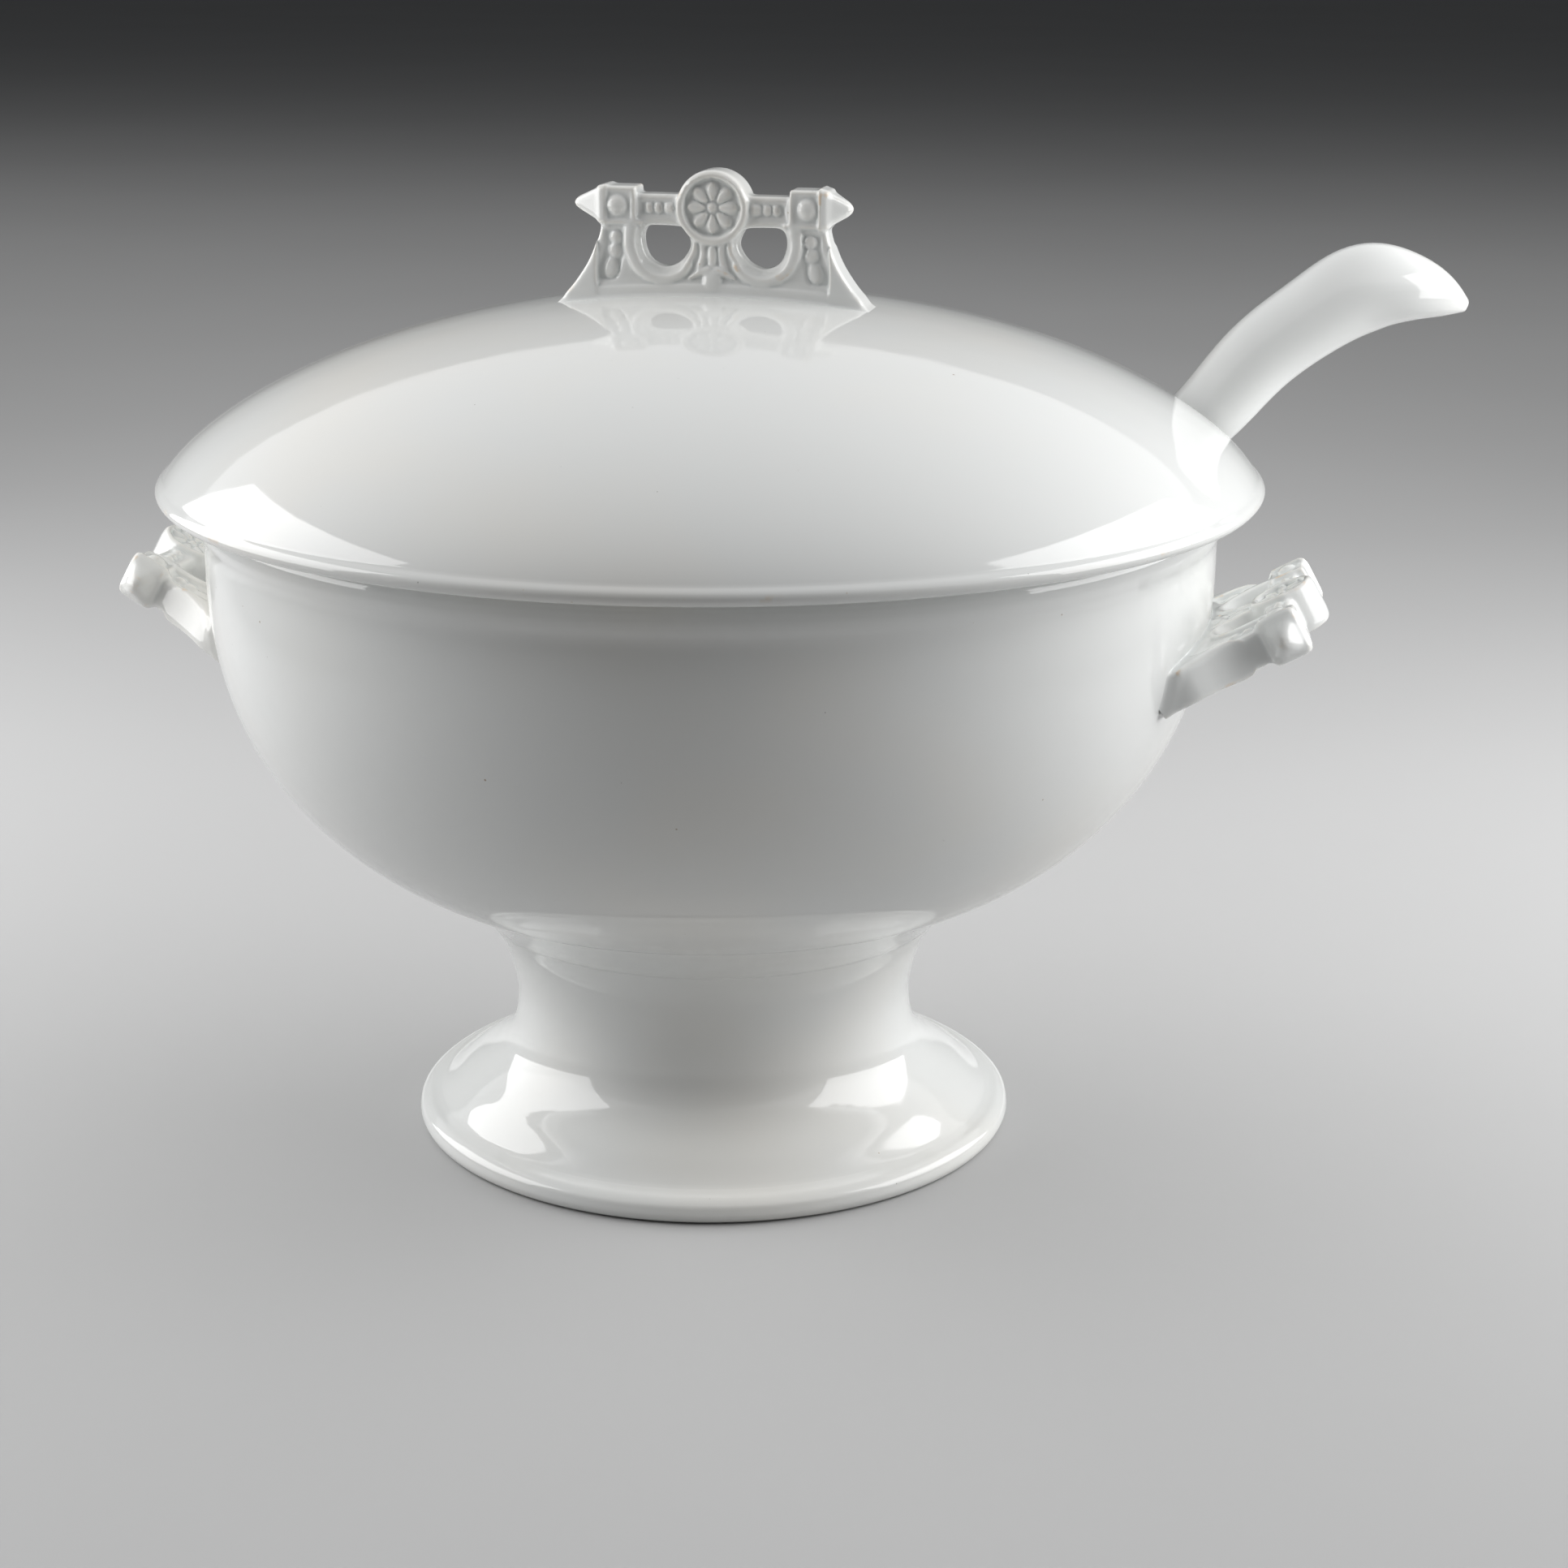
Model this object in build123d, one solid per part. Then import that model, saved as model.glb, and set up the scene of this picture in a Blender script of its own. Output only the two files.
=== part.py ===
from build123d import *
import os
from math import atan2, cos, degrees, hypot, pi, radians, sin

# Covered soup tureen in white glazed earthenware: a round bowl on a pedestal, two side handles,
# a domed lid with a pierced finial, and a ladle that leaves through a notch in the lid's edge.
# Millimetres, +Z up, +X along the handles, origin at the centre of the ring that it stands on.

# ---- driving dimensions ----
foot_radius = 79.3            # outer radius of the pedestal's foot
waist_radius = 52.3           # narrowest radius of the pedestal
joint_radius = 60.5           # radius of the luted joint between pedestal and bowl
joint_height = 58.0           # height of that joint
foot_wall = 6.0
foot_ring_width = 5.4         # flat ring that meets the table
foot_round = 2.8              # rounding under the foot's outer edge
foot_bead = 6.2               # height of the moulded edge of the foot

bowl_radius = 128.6           # widest radius of the bowl, under its collar
bowl_sink = 2.0               # the bowl's full curve would end this far below the joint
luting_height = 8.0           # cove of slip that fills the corner above the joint
bowl_fullness = 2.35          # 2 is an ellipse, more is fuller
bowl_wall = 6.1
bowl_floor = 8.0
bowl_height = 171.0           # top of the rim
collar_height = 8.0
collar_proud = 1.4
rim_thickness = 7.5
rim_to_shoulder = 15.0        # from the rim down to the bowl's widest point

lid_overhang = 10.0           # lid's edge beyond the bowl's collar
lid_crown = 48.0              # rise of the dome above the lid's edge
lid_arch = 1.3                # power of the dome's curve
lid_wall = 5.5
lid_edge = 4.6                # height of the rounded edge
lid_edge_round = 3.2          # width of the rounding under the lid's edge
lid_seat_gap = 0.3            # glaze clearance between the lid and the rim
locating_ring_depth = 10.0
locating_ring_thickness = 5.0
locating_ring_gap = 2.5       # radial clearance of the ring in the bowl's mouth

grip_half_width = 29.5        # to the outer face of the corner blocks
grip_height = 27.0            # from the root to the top of the bar
grip_bar = 7.5                # depth of the bar above the piercings
grip_flare = 9.2              # how far each leg spreads at its root
block_width = 8.9             # corner blocks
block_height = 10.3
point_length = 7.0            # four-sided point on each block
rosette_drop = 2.9            # rosette's centre below the top of the bar
rosette_recess = 2.0
rosette_rim = 2.9             # raised edge around the recess
hole_width = 12.2             # piercings
hole_height = 11.3
hole_spacing = 25.0
root_length = 16.0            # stock below the root, trimmed to the body it is luted to
moulding_height = 3.0

finial_thickness = 9.0
finial_block = 10.0
finial_moulding = 10.0
finial_rosette = 9.4          # radius
finial_sink = 2.3             # the finial's root line below the top of the dome
finial_shift = 1.2            # luted on this far from the lid's centre, towards +X

handle_thickness = 10.0
handle_block = 12.0
handle_moulding = 9.0
handle_rosette = 8.4          # radius
handle_relief = 3.2           # the underside rises this much towards the root
handle_angle = 29.0           # above the horizontal
handle_drop = 37.2            # handle's root line below the rim
handle_sink = 0.3             # the right handle's root line, inside the bowl's surface
left_handle_sink = 3.3        # the left handle's, which was pressed on further

ladle_azimuth = 20.0          # from +X towards +Y
ladle_cup_radius = 43.0
ladle_cup_depth = 32.0
ladle_cup_wall = 3.6
ladle_cup_tilt = 9.7
ladle_floor_gap = 1.0         # cup above the inside of the bowl at rest
ladle_rim_gap = 0.9           # handle above the rim at rest
ladle_crossing = 8.0          # half thickness of the handle where it crosses the rim
ladle_lean = 53.5             # degrees from upright, of the line from the rim to the handle there
notch_gap = 1.4               # each side of the ladle's handle
notch_inset = 24.0            # how far the notch runs in from the lid's edge
ring_relief = 15.0            # the locating ring is cut this far inside its bore for the ladle

# ---- values worked out from the driving dimensions ----
shoulder = bowl_height - rim_to_shoulder
bowl_depth = shoulder - joint_height + bowl_sink
lid_radius = bowl_radius + collar_proud + lid_overhang
mouth_radius = bowl_radius + collar_proud - rim_thickness
rim_round = rim_thickness / 2
rim_centre = (mouth_radius + rim_round, bowl_height - rim_round)
lid_base = bowl_height + lid_seat_gap
lid_top = lid_base + lid_crown
ring_outer = mouth_radius - locating_ring_gap
ring_inner = ring_outer - locating_ring_thickness


def superellipse(radius, depth, top, stop=1.0, count=9):
    """Points down a bowl's curve, from its widest point to a share of its depth."""
    power = 2 / bowl_fullness
    last = pi / 2 if stop == 1.0 else atan2(stop ** (1 / power), (1 - stop ** bowl_fullness) ** 0.5)
    turns = [last * i / (count - 1) for i in range(count)]
    return [(radius * abs(cos(t)) ** power, top - depth * sin(t) ** power) for t in turns]


def dome(radius, crown, base, start, count=9):
    """Points up a dome's curve from a height above its base, as a share of its crown, to its top."""
    first = start ** (1 / lid_arch)
    low = atan2((1 - first ** 2) ** 0.5, first)
    turns = [low * (1 - i / (count - 1)) for i in range(count)]
    return [(radius * sin(t), base + crown * abs(cos(t)) ** lid_arch) for t in turns]


def turned(*edges):
    """A solid of revolution about Z from a closed outline in (radius, height)."""
    return revolve(Plane.XZ * make_face(Curve() + list(edges)), Axis.Z)


# ---- bowl ----
def bowl_outer_radius(height):
    """Radius of the bowl's outer curve at a height below its widest point."""
    share = (shoulder - height) / bowl_depth
    return bowl_radius * (1 - share ** bowl_fullness) ** (1 / bowl_fullness)


def bowl_outside():
    """Edges of the bowl's outer outline, from the joint to the start of the rounded rim."""
    cove_top = shoulder - joint_height - luting_height
    curve = superellipse(bowl_radius, bowl_depth, shoulder, cove_top / bowl_depth)
    curve.reverse()
    collar_base = bowl_height - collar_height
    outer = bowl_radius + collar_proud
    return [
        Line((0, joint_height), (joint_radius, joint_height)),
        Line((joint_radius, joint_height), curve[0]),
        Spline(*curve, tangents=[Vector(1.15, 1), Vector(0, 1)]),
        Line(curve[-1], (bowl_radius, collar_base)),
        Line((bowl_radius, collar_base), (outer, collar_base + collar_proud)),
        Line((outer, collar_base + collar_proud), (outer, rim_centre[1])),
    ]


def make_bowl():
    inner_depth = shoulder - joint_height - bowl_floor
    inner = superellipse(mouth_radius, inner_depth, shoulder)
    inner[-1] = (0, shoulder - inner_depth)
    outer_rim = (bowl_radius + collar_proud, rim_centre[1])
    inner_rim = (mouth_radius, rim_centre[1])
    return turned(
        *bowl_outside(),
        ThreePointArc(outer_rim, (rim_centre[0], bowl_height), inner_rim),
        Line(inner_rim, inner[0]),
        Spline(*inner, tangents=[Vector(0, -1), Vector(-1, 0)]),
        Line(inner[-1], (0, joint_height)),
    )


def bowl_block():
    """The bowl's outer shape as one full solid, for trimming what is luted to it."""
    outer_rim = (bowl_radius + collar_proud, rim_centre[1])
    top, bottom = (0, rim_centre[1]), (0, joint_height)
    return turned(*bowl_outside(), Line(outer_rim, top), Line(top, bottom))


# ---- pedestal ----
def make_pedestal():
    bead_top = (foot_radius - 0.09 * foot_radius, foot_bead + 1.6)
    height = joint_height - bead_top[1]
    drop = bead_top[0] - waist_radius
    side = [
        bead_top,
        (waist_radius + 0.47 * drop, bead_top[1] + 0.145 * height),
        (waist_radius + 0.09 * drop, bead_top[1] + 0.33 * height),
        (waist_radius, bead_top[1] + 0.52 * height),
        (waist_radius + 0.33 * (joint_radius - waist_radius), bead_top[1] + 0.80 * height),
        (joint_radius, joint_height),
    ]
    inside = [(r - foot_wall, z) for r, z in side]
    inside.reverse()
    ring = foot_radius - foot_round
    low_inside = (ring - foot_ring_width, 0)
    inside[-1] = (low_inside[0] - 1.2, 3.0)
    return turned(
        Spline(*side),
        Line(side[-1], inside[0]),
        Spline(*inside),
        Line(inside[-1], low_inside),
        Line(low_inside, (ring, 0)),
        JernArc((ring, 0), (1, 0), foot_round, 90),
        ThreePointArc((foot_radius, foot_round), (foot_radius - 0.9, 5.0), (foot_radius - 3.0, foot_bead)),
        Line((foot_radius - 3.0, foot_bead), bead_top),
    )


# ---- lid ----
edge_share = lid_edge / lid_crown


def lid_outside():
    """Edges of the lid's outer outline, from its underside to the top of the dome."""
    curve = dome(lid_radius, lid_crown, lid_base, edge_share)
    curve[-1] = (0, lid_top)
    underside = (lid_radius - lid_edge_round, lid_base)
    return [
        ThreePointArc(underside, (lid_radius, lid_base + 0.45 * lid_edge), curve[0]),
        Spline(*curve, tangents=[Vector(-0.35, 1), Vector(-1, 0)]),
    ]


def lid_block():
    """The lid's outer shape as one full solid, for trimming the finial."""
    underside = (lid_radius - lid_edge_round, lid_base)
    return turned(*lid_outside(), Line((0, lid_top), (0, lid_base)), Line((0, lid_base), underside))


def notch_half_width():
    return max(across for r, z, thick, across in ladle_stations() if r < lid_radius) + notch_gap


def make_lid():
    ledge = lid_base + lid_wall
    hollow = dome(lid_radius - lid_wall, lid_crown - lid_wall, lid_base, lid_wall / (lid_crown - lid_wall))
    hollow[-1] = (0, lid_top - lid_wall)
    ring_foot = lid_base - locating_ring_depth
    shell = turned(
        *lid_outside(),
        Line((0, lid_top), hollow[-1]),
        Spline(*reversed(hollow), tangents=[Vector(1, 0), Vector(0.5, -1)]),
        Line(hollow[0], (ring_inner, ledge)),
        Line((ring_inner, ledge), (ring_inner, ring_foot)),
        Line((ring_inner, ring_foot), (ring_outer, ring_foot)),
        Line((ring_outer, ring_foot), (ring_outer, lid_base)),
        Line((ring_outer, lid_base), (lid_radius - lid_edge_round, lid_base)),
    )
    half = notch_half_width()
    reach = lid_radius + 5
    inner_end = lid_radius - notch_inset
    slot_height = 2 * lid_crown
    round_centre = inner_end + half
    slot = Pos((round_centre + reach) / 2, 0, lid_base) * Box(reach - round_centre, 2 * half, slot_height)
    slot += Pos(round_centre, 0, lid_base) * Cylinder(half, slot_height)
    ring_cut_start = ring_inner - ring_relief
    ring_cut = Pos((ring_cut_start + reach) / 2, 0, ring_foot)
    ring_cut *= Box(reach - ring_cut_start, 2 * half, 2 * (ledge + 1 - ring_foot))
    return shell - Rot(0, 0, ladle_azimuth) * (slot + ring_cut)


# ---- pierced grips: two handles and the finial ----
def make_hole():
    """A piercing with a flat top and a round bottom, about its own centre."""
    top = Pos(0, 0.2 * hole_height) * RectangleRounded(hole_width, 0.6 * hole_height, 0.2 * hole_height)
    return top + Ellipse(hole_width / 2, hole_height / 2)


def make_grip(thickness, block, moulding, rosette, relief=0.0):
    """A grip in the XZ plane, its root line at Z = 0, with stock below it to be trimmed.

    Relief is how much the face towards -Y is hollowed between the blocks and the root."""
    inner = grip_half_width - 1.0
    shoulder_z = grip_height - block_height + 1.3
    flare_end = grip_half_width + grip_flare
    half = [
        Line((0, grip_height), (inner, grip_height)),
        Line((inner, grip_height), (inner, shoulder_z)),
        ThreePointArc((inner, shoulder_z), (grip_half_width + 2.2, 0.42 * shoulder_z), (flare_end, 0)),
        Line((flare_end, 0), (flare_end, -root_length)),
        Line((flare_end, -root_length), (0, -root_length)),
        Line((0, -root_length), (0, grip_height)),
    ]
    right = Plane.XZ * make_face(Curve() + half)
    plate = extrude(right, thickness / 2, both=True)
    plate += mirror(plate, Plane.YZ)

    if relief:
        face = -thickness / 2
        start = 0.5 * grip_height
        wedge = [(face, start), (face + relief, 0), (face + relief, -root_length), (face, -root_length)]
        plate -= extrude(Plane.YZ * Polygon(*wedge, align=None), 2 * grip_half_width, both=True)

    hole_z = grip_height - grip_bar - hole_height / 2
    hole = extrude(Plane.XZ * make_hole(), thickness, both=True)
    for side in (-1, 1):
        plate -= Pos(side * hole_spacing / 2, 0, hole_z) * hole

    block_z = grip_height + 1.8 - block_height / 2
    block_x = grip_half_width - block_width / 2
    slope = degrees(atan2(min(block, block_height) / 2 - 0.4, point_length))
    for side in (-1, 1):
        plate += Pos(side * block_x, 0, block_z) * Box(block_width, block, block_height)
        face = Plane((side * grip_half_width, 0, block_z), x_dir=(0, 1, 0), z_dir=(side, 0, 0))
        plate += extrude(face * Rectangle(block - 1, block_height - 1), point_length, taper=slope - 4)

    rosette_z = grip_height - rosette_drop
    plate += Pos(0, 0, rosette_z) * Rot(90, 0, 0) * Cylinder(rosette, block)
    for side in (-1, 1):
        recess = Rot(90, 0, 0) * Cylinder(rosette - rosette_rim, rosette_recess)
        plate -= Pos(0, side * (block - rosette_recess) / 2, rosette_z) * recess
        plate += Pos(0, side * (block - 2) / 2, rosette_z) * Sphere(1.9)
    stock = moulding_height + root_length
    plate += Pos(0, 0.4 * relief, moulding_height - stock / 2) * Box(2 * flare_end, moulding, stock)
    return plate


def make_finial():
    root = lid_top - finial_sink
    grip = make_grip(finial_thickness, finial_block, finial_moulding, finial_rosette)
    return Pos(finial_shift, 0, root) * grip - lid_block()


def make_handle(sink):
    """The handle towards +X, with its root line this far inside the bowl's surface."""
    rise = radians(handle_angle)
    root_height = bowl_height - handle_drop
    root = (bowl_outer_radius(root_height) - sink, 0, root_height)
    plane = Plane(root, x_dir=(0, 1, 0), z_dir=(cos(rise), 0, sin(rise)))
    grip = make_grip(handle_thickness, handle_block, handle_moulding, handle_rosette, handle_relief)
    return plane * grip - bowl_block()


# ---- ladle, drawn in the upright plane (radius, height) and turned to its azimuth ----
def ladle_cup_centre():
    """Centre of the cup's mouth, set so that the cup hangs just above the bowl's floor."""
    floor = joint_height + bowl_floor
    lift = ladle_cup_depth + ladle_floor_gap + 3.4
    return (0.27 * mouth_radius, floor + lift)


def ladle_stations():
    """Centreline (radius, height) of the ladle's handle, with its half thickness and half breadth."""
    cup_r, cup_z = ladle_cup_centre()
    rim_r, rim_z = rim_centre
    off = ladle_crossing + rim_round + ladle_rim_gap
    lean = radians(ladle_lean)
    cross_r, cross_z = rim_r - off * sin(lean), rim_z + off * cos(lean)
    foot_r, foot_z = cup_r + ladle_cup_radius + 0.5, cup_z - 2
    stations = [(foot_r - 10, foot_z - 13, 2.4, 6.0), (foot_r, foot_z, 4.4, 8.5)]
    for rise, thick, across in ((0.25, 5.6, 9.6), (0.52, 6.3, 9.4), (0.78, 7.1, 10.0)):
        r, z = foot_r + rise ** 1.5 * (cross_r - foot_r), foot_z + rise * (cross_z - foot_z)
        stations.append((r, z, thick, across))
    return stations + [
        (cross_r, cross_z, ladle_crossing, 11.0),
        (rim_r + 3.4, rim_z + 19.2, 9.1, 12.0),
        (rim_r + 16.8, rim_z + 34.0, 10.0, 12.0),
        (rim_r + 31.2, rim_z + 44.6, 10.8, 12.5),
        (rim_r + 43.2, rim_z + 51.4, 11.8, 13.0),
        (rim_r + 56.2, rim_z + 51.2, 8.8, 12.0),
        (rim_r + 65.2, rim_z + 48.6, 5.6, 8.5),
        (rim_r + 71.0, rim_z + 46.2, 2.0, 3.4),
    ]


def cup_profile(radius, depth):
    """Half outline of a cup below its mouth at height 0."""
    mouth, low = (radius, 0), (0, -depth)
    middle = (radius * sin(radians(52)), -depth * cos(radians(52)))
    return Spline(mouth, middle, low, tangents=[Vector(0, -1), Vector(-1, 0)]), mouth, low


def place_cup(solid):
    r, z = ladle_cup_centre()
    return Rot(0, 0, ladle_azimuth) * Pos(r, 0, z) * Rot(0, -ladle_cup_tilt, 0) * solid


def make_ladle_cup(full=False):
    """The cup, or its outer shape as one full solid, for trimming the ladle's handle."""
    outer, mouth, low = cup_profile(ladle_cup_radius, ladle_cup_depth)
    inner_radius = ladle_cup_radius - ladle_cup_wall
    inner, inner_mouth, inner_low = cup_profile(inner_radius, ladle_cup_depth - ladle_cup_wall)
    lip = ThreePointArc(mouth, (ladle_cup_radius - ladle_cup_wall / 2, ladle_cup_wall / 2), inner_mouth)
    if full:
        return place_cup(turned(outer, lip, Line(inner_mouth, (0, 0)), Line((0, 0), low)))
    return place_cup(turned(outer, Line(low, inner_low), inner, lip))


def make_ladle_handle():
    stations = ladle_stations()
    sections = []
    for i, (r, z, thick, across) in enumerate(stations):
        before, after = stations[max(i - 1, 0)], stations[min(i + 1, len(stations) - 1)]
        run, rise = after[0] - before[0], after[1] - before[1]
        length = hypot(run, rise)
        plane = Plane((r, 0, z), x_dir=(0, 1, 0), z_dir=(run / length, 0, rise / length))
        sections.append(plane * Ellipse(across, thick))
    return Rot(0, 0, ladle_azimuth) * loft(sections) - make_ladle_cup(full=True)


parts = {
    "bowl": make_bowl(),
    "pedestal_foot": make_pedestal(),
    "handle_right": make_handle(handle_sink),
    "handle_left": Rot(0, 0, 180) * make_handle(left_handle_sink),
    "lid": make_lid(),
    "lid_finial": make_finial(),
    "ladle_bowl": make_ladle_cup(),
    "ladle_handle": make_ladle_handle(),
}

os.makedirs("parts", exist_ok=True)
for name, solid in parts.items():
    export_step(solid, f"parts/{name}.step")
    print(name, len(solid.solids()), round(solid.volume / 1000, 1), "cm3")
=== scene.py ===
import bmesh
import bpy
import numpy as np
from math import atan2, cos, pi, radians, sin, sqrt
from mathutils import Matrix, Vector


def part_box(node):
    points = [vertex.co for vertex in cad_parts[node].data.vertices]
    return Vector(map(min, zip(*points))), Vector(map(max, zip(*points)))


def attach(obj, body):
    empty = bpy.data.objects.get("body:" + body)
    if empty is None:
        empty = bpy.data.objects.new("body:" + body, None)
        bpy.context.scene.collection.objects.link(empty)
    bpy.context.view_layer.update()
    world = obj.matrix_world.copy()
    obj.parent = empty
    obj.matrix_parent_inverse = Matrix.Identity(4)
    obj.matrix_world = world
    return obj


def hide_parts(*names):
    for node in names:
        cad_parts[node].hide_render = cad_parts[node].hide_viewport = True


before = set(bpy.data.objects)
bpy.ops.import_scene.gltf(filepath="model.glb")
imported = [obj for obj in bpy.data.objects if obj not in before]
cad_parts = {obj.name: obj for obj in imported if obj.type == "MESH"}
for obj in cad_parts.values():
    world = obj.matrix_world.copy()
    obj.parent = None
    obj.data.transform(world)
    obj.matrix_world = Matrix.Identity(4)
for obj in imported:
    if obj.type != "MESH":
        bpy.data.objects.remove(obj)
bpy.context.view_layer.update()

mm = 0.001

# ---- Pedestal foot ----
# A hollow flared foot in cast white earthenware. It is turned on its flat ring, which is wiped bare of
# glaze where it meets the table, and luted under the bowl with slip.

foot_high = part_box("pedestal_foot")[1]
foot_radius = foot_high.x
joint_height = foot_high.z
joint_radius = 60.5 * mm
waist_radius = 52.3 * mm
foot_wall = 6.0 * mm
foot_round = 2.8 * mm
bead_height = 6.2 * mm
hand_warp = 0.6 * mm         # how far thrown ware is out of round
hand_span = 0.10             # and over what distance it swells


def through(knots, spacing):
    """Points on a smooth curve through the knots, about spacing apart."""
    ends = [2 * Vector(knots[0]) - Vector(knots[1]), 2 * Vector(knots[-1]) - Vector(knots[-2])]
    path = [ends[0]] + [Vector(k) for k in knots] + [ends[1]]
    points = []
    for a, b, c, d in zip(path, path[1:], path[2:], path[3:]):
        steps = max(1, round((c - b).length / spacing))
        for i in range(steps):
            t = i / steps
            points.append(0.5 * (2 * b + (c - a) * t + (2 * a - 5 * b + 4 * c - d) * t * t
                                 + (3 * b - a - 3 * c + d) * t ** 3))
    return points + [path[-2]]


def arc(centre, radius, start, stop, spacing=0.5 * mm):
    """Points round an arc, from one angle to another in degrees."""
    steps = max(3, round(abs(radians(stop - start)) * radius / spacing))
    turns = [radians(start + (stop - start) * i / steps) for i in range(steps + 1)]
    return [Vector((centre[0] + radius * cos(t), centre[1] + radius * sin(t))) for t in turns]


def thrown_tree():
    """Geometry Nodes that turn a half outline about the upright axis and give it a hand-made warp."""
    tree = bpy.data.node_groups.new("thrown_ware", "GeometryNodeTree")
    sockets = tree.interface.new_socket
    sockets("Outline", in_out="INPUT", socket_type="NodeSocketGeometry")
    for label, kind in (("Turns", "Int"), ("Warp", "Float"), ("Warp size", "Float"), ("Seed", "Float"),
                        ("Lean", "Float"), ("Lean from", "Float"), ("Glaze", "Material")):
        sockets(label, in_out="INPUT", socket_type="NodeSocket" + kind)
    sockets("Ware", in_out="OUTPUT", socket_type="NodeSocketGeometry")
    node, link = tree.nodes.new, tree.links.new
    given, made = node("NodeGroupInput"), node("NodeGroupOutput")

    def maths(operation, a, b=None, c=None):
        step = node("ShaderNodeMath")
        step.operation = operation
        for socket, value in zip(step.inputs, (a, b, c)):
            if isinstance(value, (int, float)):
                socket.default_value = value
            elif value is not None:
                link(value, socket)
        return step.outputs[0]

    size = node("GeometryNodeAttributeDomainSize")
    link(given.outputs["Outline"], size.inputs[0])
    grid = node("GeometryNodeMeshGrid")
    grid.inputs["Size X"].default_value = 1
    grid.inputs["Size Y"].default_value = 1
    link(size.outputs["Point Count"], grid.inputs["Vertices X"])
    link(maths("ADD", given.outputs["Turns"], 1), grid.inputs["Vertices Y"])
    place = node("GeometryNodeInputPosition")
    split = node("ShaderNodeSeparateXYZ")
    link(place.outputs[0], split.inputs[0])
    last = maths("SUBTRACT", size.outputs["Point Count"], 1)
    index = maths("ROUND", maths("MULTIPLY", maths("ADD", split.outputs["X"], 0.5), last))
    angle = maths("MULTIPLY", maths("ADD", split.outputs["Y"], 0.5), 2 * pi)
    pick = node("GeometryNodeSampleIndex")
    pick.data_type = "FLOAT_VECTOR"
    link(given.outputs["Outline"], pick.inputs["Geometry"])
    link(place.outputs[0], pick.inputs["Value"])
    link(index, pick.inputs["Index"])
    outline = node("ShaderNodeSeparateXYZ")
    link(pick.outputs[0], outline.inputs[0])
    radius, height = outline.outputs["X"], outline.outputs["Z"]
    cosine, sine = maths("COSINE", angle), maths("SINE", angle)

    spot = node("ShaderNodeCombineXYZ")
    link(maths("MULTIPLY", radius, cosine), spot.inputs["X"])
    link(maths("MULTIPLY", radius, sine), spot.inputs["Y"])
    link(height, spot.inputs["Z"])
    noise = node("ShaderNodeTexNoise")
    noise.noise_dimensions = "4D"
    noise.inputs["Detail"].default_value = 1.0
    link(given.outputs["Seed"], noise.inputs["W"])
    link(spot.outputs[0], noise.inputs["Vector"])
    link(maths("DIVIDE", 1.0, given.outputs["Warp size"]), noise.inputs["Scale"])
    wobble = maths("MULTIPLY", maths("SUBTRACT", noise.outputs["Fac"], 0.5), given.outputs["Warp"])
    swell = maths("MINIMUM", maths("DIVIDE", radius, 0.03), 1.0)
    warped = maths("MULTIPLY_ADD", wobble, swell, radius)
    lean = maths("MULTIPLY", maths("MAXIMUM", maths("SUBTRACT", height, given.outputs["Lean from"]), 0.0),
                 given.outputs["Lean"])
    final = node("ShaderNodeCombineXYZ")
    link(maths("MULTIPLY_ADD", warped, cosine, lean), final.inputs["X"])
    link(maths("MULTIPLY", warped, sine), final.inputs["Y"])
    link(height, final.inputs["Z"])
    shape = node("GeometryNodeSetPosition")
    link(grid.outputs["Mesh"], shape.inputs["Geometry"])
    link(final.outputs[0], shape.inputs["Position"])
    weld = node("GeometryNodeMergeByDistance")
    weld.inputs["Distance"].default_value = 0.01 * mm
    link(shape.outputs[0], weld.inputs["Geometry"])
    smooth = node("GeometryNodeSetShadeSmooth")
    link(weld.outputs[0], smooth.inputs["Geometry"])
    realize = node("GeometryNodeRealizeInstances")
    link(smooth.outputs[0], realize.inputs[0])
    glazed = node("GeometryNodeSetMaterial")
    link(realize.outputs[0], glazed.inputs["Geometry"])
    link(given.outputs["Glaze"], glazed.inputs["Material"])
    link(glazed.outputs[0], made.inputs[0])
    return tree


thrown_ware = thrown_tree()


def finished(obj):
    """The object with its modifiers turned into plain mesh and removed."""
    bpy.context.view_layer.update()
    evaluated = obj.evaluated_get(bpy.context.evaluated_depsgraph_get())
    mesh = bpy.data.meshes.new_from_object(evaluated)
    mesh.name = obj.name
    obj.modifiers.clear()
    obj.data = mesh
    return obj


def added(name, mesh):
    obj = bpy.data.objects.new(name, mesh)
    bpy.context.scene.collection.objects.link(obj)
    return obj


def set_inputs(modifier, tree, **values):
    """Sets a Geometry Nodes modifier's inputs by their sockets' identifiers."""
    for item in tree.interface.items_tree:
        key = item.name.replace(" ", "_").lower()
        if item.in_out == "INPUT" and key in values:
            modifier[item.identifier] = values[key]


def throw(name, outline, coat, turns=240, warp=hand_warp, warp_size=hand_span, seed=3.0, lean=0.0,
          lean_from=0.0):
    """A thrown form from its half outline in (radius, height), with its faces outwards."""
    mesh = bpy.data.meshes.new(name)
    edges = [(i, i + 1) for i in range(len(outline) - 1)]
    mesh.from_pydata([(max(r, 0.0), 0, z) for r, z in outline], edges, [])
    obj = added(name, mesh)
    modifier = obj.modifiers.new("thrown", "NODES")
    modifier.node_group = thrown_ware
    set_inputs(modifier, thrown_ware, turns=turns, warp=warp, warp_size=warp_size, seed=seed, lean=lean,
               lean_from=lean_from, glaze=coat)
    finished(obj)
    outwards(obj.data)
    return obj


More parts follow.
